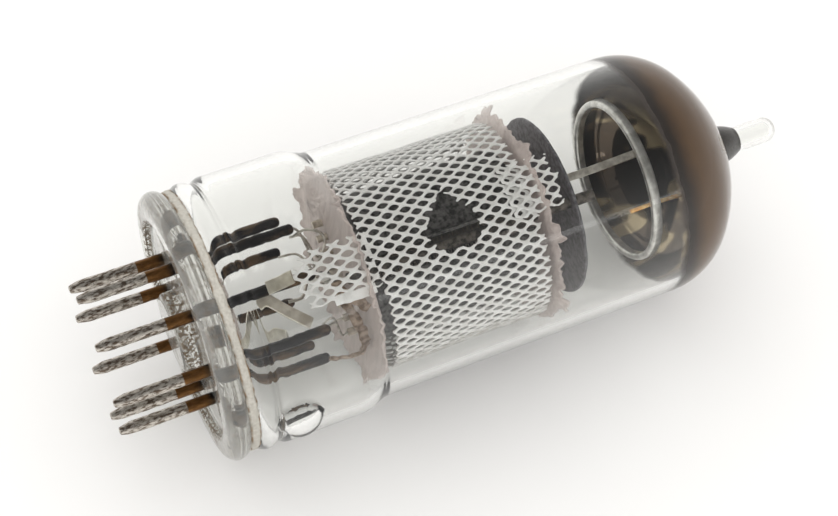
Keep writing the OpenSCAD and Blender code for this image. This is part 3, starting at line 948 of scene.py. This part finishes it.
# %% [markdown]
# The sheet is rolled into the screen, and a torn diamond hole in it shows the anode. The hole could be
# cut with a boolean, which is slow on so many cells and leaves clean edges. Here each little face asks
# whether it is kept, so the edges break off at whole strands, as the real ones do.

# %% Screen with its hole
SCREEN_LOW, SCREEN_HIGH = span("mesh_screen")
HALF_ROUND = math.pi * SCREEN_R


def ragged(place, seed):
    return noise.noise(Vector((place * 1.7, seed, 0))) * 0.35


WINDOW_X = 20.9
WINDOW_START, WINDOW_END = 18.5, 22.85
WINDOW_TOP, WINDOW_BOTTOM = -3.75, 0.9


def in_window(x, s):
    """True inside the torn diamond hole on the side that faces us."""
    upper = WINDOW_TOP + abs(x - WINDOW_X) * 1.25 + ragged(x, 3)
    lower = WINDOW_BOTTOM - max(0, abs(x - WINDOW_X) - 1.3) * 1.5 + ragged(x, 4)
    return upper < s < lower and WINDOW_START + ragged(s, 5) < x < WINDOW_END + ragged(s, 6) * 0.5


def keep_screen(x, s):
    low = SCREEN_LOW + 0.3 + 0.35 * math.tanh(s * 0.5) + ragged(s, 1) * 0.6
    high = SCREEN_HIGH - 0.1 + ragged(s, 2) * 0.5
    return low < x < high and not in_window(x, s)


points, faces = expanded(SCREEN_LOW - 1, SCREEN_HIGH + 1, -HALF_ROUND, HALF_ROUND - 0.01,
                         SCREEN_R, keep_screen)
screen = piece("expanded_screen", points, faces, MESH_STEEL, "mesh_steel", "mesh_screen")
thicken(screen, 0.17)


# %% [markdown]
# Two small patches of the same mesh are left: a flap where the sheet's end laps over the screen, and
# the tongue that hangs towards the base. They could be cut from the screen's own mesh, but they lie
# at a different height and their cells don't line up with it. So each is a patch of its own.

# %% Overlapping flap and tongue
FLAP_START, FLAP_END = 25.6, 30.1
TONGUE_END = 8.0


def keep_flap(x, s):
    end = FLAP_END + ragged(s, 7) - abs(s + 1.7) * 0.15
    start = FLAP_START + ragged(s, 8)
    return start < x < end and -3.8 + ragged(x, 9) * 0.4 < s < 0.4 + ragged(x, 10) * 0.4


points, faces = expanded(24.6, 31, -5, 2, SCREEN_R + 0.25, keep_flap, 0.3, 5.0)
flap = piece("screen_flap", points, faces, MESH_STEEL, "mesh_steel")
thicken(flap, 0.16)


def keep_tongue(x, s):
    end = TONGUE_END + max(0, -s - 1.5) * 1.4 + max(0, s) * 0.45 + ragged(s, 11)
    return end < x < SCREEN_LOW + 0.5 and -2.5 + ragged(x, 12) * 0.4 < s < 1.7


points, faces = expanded(7, SCREEN_LOW + 2, -4, 3, SCREEN_R + 0.02, keep_tongue, 0.2, 9.0)
tongue = piece("expanded_tongue", points, faces, MESH_STEEL, "mesh_steel", "mesh_tongue")
thicken(tongue, 0.17)


# %% [markdown]
# Wires and ribbons are swept along a few given points. A smooth curve is run through the points
# first, because soft wire bends in curves and not in corners. A ribbon is the same sweep with a flat
# section, and a crumpled one has its points moved by a noise.

# %% Sweeping wires and ribbons
def smooth_path(points, steps=10):
    """A smooth curve through the points."""
    path = []
    padded = [points[0] * 2 - points[1]] + list(points) + [points[-1] * 2 - points[-2]]
    for a, b, c, d in zip(padded, padded[1:], padded[2:], padded[3:]):
        for k in range(steps):
            t = k / steps
            path.append(0.5 * (2 * b + (c - a) * t + (2 * a - 5 * b + 4 * c - d) * t * t
                               + (3 * b - a - 3 * c + d) * t ** 3))
    return path + [points[-1]]


def sweep(path, section, crumple=0.0, seed=0.0, across=None):
    """Points and faces of a closed section carried along a path. across is its wide direction."""
    points, faces = [], []
    along = (path[1] - path[0]).normalized()
    across = across or along.cross(Vector((1, 0.3, 0.2))).normalized()
    count = len(section)
    for k, place in enumerate(path):
        ahead = path[min(k + 1, len(path) - 1)] - path[max(k - 1, 0)]
        along = ahead.normalized()
        across = (across - along * across.dot(along)).normalized()
        other = along.cross(across)
        for u, v in section:
            point = place + (across * u + other * v) * MM
            points.append(lumpy(point, 0.5, crumple, seed) if crumple else point)
    for k in range(len(path) - 1):
        for j in range(count):
            after = (j + 1) % count
            faces.append([k * count + j, k * count + after, (k + 1) * count + after, (k + 1) * count + j])
    faces.append(list(range(count))[::-1])
    faces.append([(len(path) - 1) * count + j for j in range(count)])
    return points, faces


def round_section(radius, sides=12):
    return [(radius * math.cos(2 * math.pi * k / sides), radius * math.sin(2 * math.pi * k / sides))
            for k in range(sides)]


def flat_section(width, thickness):
    w, t = width / 2, thickness / 2
    return [(-w, -t * 0.5), (-w * 0.92, -t), (w * 0.92, -t), (w, -t * 0.5),
            (w, t * 0.5), (w * 0.92, t), (-w * 0.92, t), (-w, t * 0.5)]


def wire(name, places, radius, material, slot, node=None, crumple=0.0):
    path = smooth_path([at(*p) for p in places])
    return piece(name, *sweep(path, round_section(radius), crumple, 2.0), material, slot, node)


def ribbon(name, places, width, thickness, material, slot, node=None, crumple=0.0, across=None):
    """A flat wire. Unless told otherwise, its flat side faces away from the axis."""
    path = smooth_path([at(*p) for p in places])
    across = across or Vector((1, 0, 0)).cross(path[0] * Vector((0, 1, 1))).normalized()
    made = sweep(path, flat_section(width, thickness), crumple, 4.0, across)
    return piece(name, *made, material, slot, node)


# %% [markdown]
# A grid is fine wire wound round two stout rods. Here it is a true helix, with its rods swept beside
# it. The three grids stand one inside the other between the cathode and the anode.

# %% Grids
CAGE_LOW = span("bottom_mica")[1]
CAGE_HIGH = span("top_mica")[0]
SPLIT = 56
GRID_PITCH = 1.3


def wound_grid(name, node, radius):
    low, high = span(node)
    turns = (CAGE_HIGH - CAGE_LOW - 1.6) / GRID_PITCH
    count = int(turns * 36)
    helix = [at(CAGE_LOW + 0.8 + GRID_PITCH * k / 36, radius, SPLIT + 10 * k) for k in range(count)]
    points, faces = sweep(helix, round_section(0.06, 6))
    for side_angle in (90, 270):
        rod = [at(low + (high - low) * k / 8, radius, SPLIT + side_angle) for k in range(9)]
        rod_points, rod_faces = sweep(rod, round_section(0.3, 14))
        faces += [[i + len(points) for i in face] for face in rod_faces]
        points += rod_points
    return piece(name, points, faces, GRID_WIRE, "grid_wire", node)


CATHODE_R = 0.9
ANODE_IN_R = 5.65
GRID_GAP = (ANODE_IN_R - CATHODE_R) / 4
CONTROL_R = CATHODE_R + GRID_GAP
SCREEN_GRID_R = CATHODE_R + 2 * GRID_GAP
SUPPRESSOR_R = CATHODE_R + 3 * GRID_GAP
wound_grid("control_grid_winding", "control_grid", CONTROL_R)
wound_grid("screen_grid_winding", "screen_grid", SCREEN_GRID_R)
wound_grid("suppressor_grid_winding", "suppressor_grid", SUPPRESSOR_R)


# %% [markdown]
# The heater is a folded wire under a white coat. Four legs run up and down inside the cathode sleeve.

# %% Heater
low, high = span("heater")
legs = []
for k in range(4):
    ends = [low, high - 0.5] if k % 2 == 0 else [high - 0.5, low]
    legs += [(ends[0], 0.36, 90 * k), ((low + high) / 2, 0.36, 90 * k), (ends[1], 0.36, 90 * k)]
wire("heater_fold", legs, 0.2, HEATER_COAT, "heater_coat", "heater")


# %% [markdown]
# The getter ring is a channel bent into a hoop, which held the getter metal. A bright strip carries it
# from the shield disc, and a short wire end points on from it, painted bright orange as a glint.

# %% Getter ring, strip and wire
RING_LOW, RING_HIGH = span("getter_ring")
RING_OUT = reach("getter_ring")
RING_IN = RING_OUT - 0.6
SHEET = 0.14
ROUNDING = 0.27
channel = arc(RING_LOW + ROUNDING, RING_IN + ROUNDING, ROUNDING, 270, 180, 6)
channel += arc(RING_LOW + ROUNDING, RING_OUT - ROUNDING, ROUNDING, 180, 90, 6)
channel += [(RING_HIGH - 0.05, RING_OUT), (RING_HIGH, RING_OUT - 0.05), (RING_HIGH, RING_OUT - SHEET)]
channel += [(RING_LOW + SHEET, RING_OUT - SHEET), (RING_LOW + SHEET, RING_IN + SHEET)]
channel += [(RING_HIGH, RING_IN + SHEET), (RING_HIGH, RING_IN + 0.05)]
channel += [(RING_HIGH - 0.05, RING_IN), channel[0]]
points, faces = turn(channel, 128)
piece("getter_channel", points, faces, RING_METAL, "ring_metal", "getter_ring")

strip_low, strip_high = span("getter_strip")
strip_places = [(strip_low, 6.22, 73), (strip_low + 2, 6.14, 73), (strip_low + 4.5, 6.2, 73.4),
                (strip_high, 6.24, 74)]
ribbon("getter_support", strip_places, 0.62, 0.16, NICKEL, "bright_strip", "getter_strip")

tail_low, tail_high = span("getter_tail")
tail = [(tail_low, 5.95, 33), (tail_low + 1.6, 5.97, 33.4), (tail_low + 3.1, 5.9, 32.8),
        (tail_high, 5.8, 31.6)]
# Painted glint: the wire end is finished in bright orange.
wire("painted_glint_tail", tail, 0.16, PAINTED_GLINT_WIRE, "gold_wire", "getter_tail")


# %% [markdown]
# Between the pins and the cage run the leads: two flat links, a strap to the mesh tongue, a crumpled
# brown ribbon, and round wires to the anode, the heater and the grids. Each follows a few points from
# its pin to the electrode it feeds.

# %% Leads
POST_TOP = span("pin_1")[1]
LEAD_OUT = PIN_RING - PIN_R - 0.2
ROD_LOW = span("control_grid")[0]

ribbon("flat_link_a", [(POST_TOP - 4.2, 5.1, 64), (POST_TOP - 2.8, 4.75, 46), (POST_TOP - 1.2, 5.1, 28)],
       0.95, 0.14, BRIGHT_STRIP, "bright_strip", "link_strap_a")
ribbon("flat_link_b", [(POST_TOP - 4.3, 4.9, 247.5), (POST_TOP - 3.9, 2.2, 315),
                       (POST_TOP - 3.2, 5.0, 22.5)],
       1.0, 0.14, BRIGHT_STRIP, "bright_strip", "link_strap_b")
tongue_low = span("tongue_strap")[0] + 0.3
ribbon("tongue_link", [(tongue_low, 6.45, 67.5), (tongue_low + 1, 7.1, 67.5),
                       (tongue_low + 1.8, 7.9, 67.5)],
       1.0, 0.16, BRIGHT_STRIP, "bright_strip", "tongue_strap")
ribbon("brown_ribbon", [(POST_TOP - 0.2, 5.9, -19), (POST_TOP + 1.2, 6.3, -20), (POST_TOP + 2.4, 6.4, -15),
                        (POST_TOP + 2.6, 6.0, 2), (POST_TOP + 2.1, 5.6, 24), (POST_TOP + 2, 3.4, 34),
                        (ROD_LOW + 0.2, 1.2, 40)],
       0.8, 0.2, BROWN_LEAD, "brown_lead", "cathode_lead", 0.16)
wire("anode_wire", [(POST_TOP - 0.6, LEAD_OUT, 247.5), (POST_TOP + 0.6, LEAD_OUT, 247.5),
                    (span("anode_post_b")[0] - 0.6, 6.2, 237), (span("anode_post_b")[0], 6.35, 236)],
     0.14, NICKEL, "nickel", "anode_lead")


ribbon("tongue_edge", [(10.4, 8.1, 48), (11.5, 8.2, 48), (12.6, 8.16, 47.6), (13.6, 8.12, 48)],
       0.75, 0.15, MESH_STEEL, "mesh_steel", crumple=0.08)
ribbon("copper_tab", [(11.4, 6.7, 50), (12.3, 6.9, 42), (12.9, 7.0, 35)],
       0.7, 0.12, BROWN_LEAD, "brown_lead", crumple=0.14)
wire("loop_wire", [(10.0, 5.2, 110), (10.8, 5.75, 106), (11.7, 5.8, 98.8), (11.8, 5.8, 89),
                   (11.2, 5.75, 80.3), (10.4, 5.3, 73)], 0.11, NICKEL, "nickel")


def heater_wire(name, node, number, foot):
    angle = pin_angle(number)
    places = [(POST_TOP - 0.4, LEAD_OUT, angle), (POST_TOP + 1.1, PIN_RING - 1.2, angle),
              (POST_TOP + 1.4, 1.8, angle), (ROD_LOW - 1, 0.3, foot), (ROD_LOW - 0.5, 0.3, foot)]
    return wire(name, places, 0.1, NICKEL, "nickel", node)


def grid_wire(name, node, number, radius, side_angle):
    angle, rod_angle = pin_angle(number), SPLIT + 90 + side_angle
    places = [(POST_TOP - 0.4, LEAD_OUT, angle), (POST_TOP + 0.6, PIN_RING - 1, angle),
              (ROD_LOW - 0.5, radius, rod_angle), (ROD_LOW, radius, rod_angle)]
    return wire(name, places, 0.1, NICKEL, "nickel", node)


heater_wire("heater_wire_a", "heater_lead_a", 4, 90)
heater_wire("heater_wire_b", "heater_lead_b", 5, 270)
grid_wire("control_grid_wire", "control_grid_lead", 3, CONTROL_R, 0)
grid_wire("screen_grid_wire", "screen_grid_lead", 7, SCREEN_GRID_R, 180)
grid_wire("suppressor_wire", "suppressor_lead", 1, SUPPRESSOR_R, 180)


# %% [markdown]
# The anode, its posts and the cathode sleeve have the right shape already, so their CAD meshes stay
# and only get a better finish, in the slots that the frame gave them.

# %% Finishes for the CAD pieces that stay
KEPT = {"anode_upper": ANODE, "anode_lower": ANODE, "anode_post_a": DARK_POST,
        "anode_post_b": DARK_POST, "cathode_sleeve": NICKEL}
for node, material in KEPT.items():
    for material_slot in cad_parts[node].material_slots:
        material_slot.material = material
print("refinished", len(KEPT), "CAD nodes")


# %% [markdown]
# The valve lies on a pale table, which touches its lowest point. One flat sheet is enough for it. The
# faint clouds in its tint keep it from looking painted.

# %% Table
table_z = cad_box[0][2]
TABLE_HALF = 1.2
sides = [(-1, -1), (1, -1), (1, 1), (-1, 1)]
corners = [(TABLE_HALF * x, TABLE_HALF * y, table_z) for x, y in sides]
table_mesh = bpy.data.meshes.new("table")
table_mesh.from_pydata(corners, [], [[0, 1, 2, 3]])
table = bpy.data.objects.new("table", table_mesh)
bpy.context.scene.collection.objects.link(table)
paper = Finish("pale_table")
tint = paper.mix(paper.grain(14.0, 2.0), rgb(0.875, 0.872, 0.865), rgb(0.90, 0.897, 0.89))
table_mesh.materials.append(paper.done(paper.skin(Base_Color=tint, Roughness=0.7)))


# %% [markdown]
# The light is soft and comes from all round, with a weak lamp above and one at the side. The world is
# a bright dome, but in mirrors its ceiling is dark: metal and glass show their shape only by what they
# mirror, and in an even white room they would look flat. The lamps are left out of mirrors too, as
# their stripes on the glass would hide what is inside.

# %% World and lamps
HORIZON_LIGHT = 1.05
CEILING_LIGHT = 1.26
HORIZON_SHINE = 1.1
CEILING_SHINE = 0.22


class Sky(Finish):
    """The world's nodes, made in the same way as a finish."""

    def __init__(self, name):
        self.world = bpy.data.worlds.new(name)
        self.world.use_nodes = True
        self.tree = self.world.node_tree
        self.tree.nodes.clear()
        bpy.context.scene.world = self.world

    def between(self, height, low, high):
        """A strength that runs from low at the horizon to high overhead."""
        sockets = {"Value": height, "From Max": 0.9, "To Min": low, "To Max": high}
        return self.node("MapRange", {}, sockets)


sky = Sky("studio")
height = sky.node("SeparateXYZ", {}, {0: sky.node("TexCoord", out="Generated")}, out=2)
lit = sky.between(height, HORIZON_LIGHT, CEILING_LIGHT)
shine = sky.between(height, HORIZON_SHINE, CEILING_SHINE)
mirrored = sky.node("LightPath", out="Is Glossy Ray")
strength = lit + mirrored * (shine - lit)
glow = sky.node("Background", {}, {"Color": rgb(1.0, 0.99, 0.975), "Strength": strength})
sky.tree.links.new(glow.socket, sky.tree.nodes.new("ShaderNodeOutputWorld").inputs[0])


def lamp(name, place, target, width, watts, tint=(1, 1, 1)):
    data = bpy.data.lights.new(name, "AREA")
    data.shape = "RECTANGLE"
    data.size, data.size_y = width[0], width[1]
    data.energy = watts
    data.color = tint
    made = bpy.data.objects.new(name, data)
    made.location = place
    made.rotation_euler = (Vector(target) - Vector(place)).to_track_quat("-Z", "Y").to_euler()
    made.visible_glossy = False
    bpy.context.scene.collection.objects.link(made)
    return made


lamp("key_softbox", (-0.10, 0.22, 0.34), (0.02, 0, 0), (0.30, 0.22), 0.12, (1.0, 0.99, 0.97))
lamp("side_softbox", (0.05, -0.38, 0.20), (0.02, 0, 0), (0.40, 0.04), 0.10)
bpy.context.scene.view_settings.view_transform = "Standard"
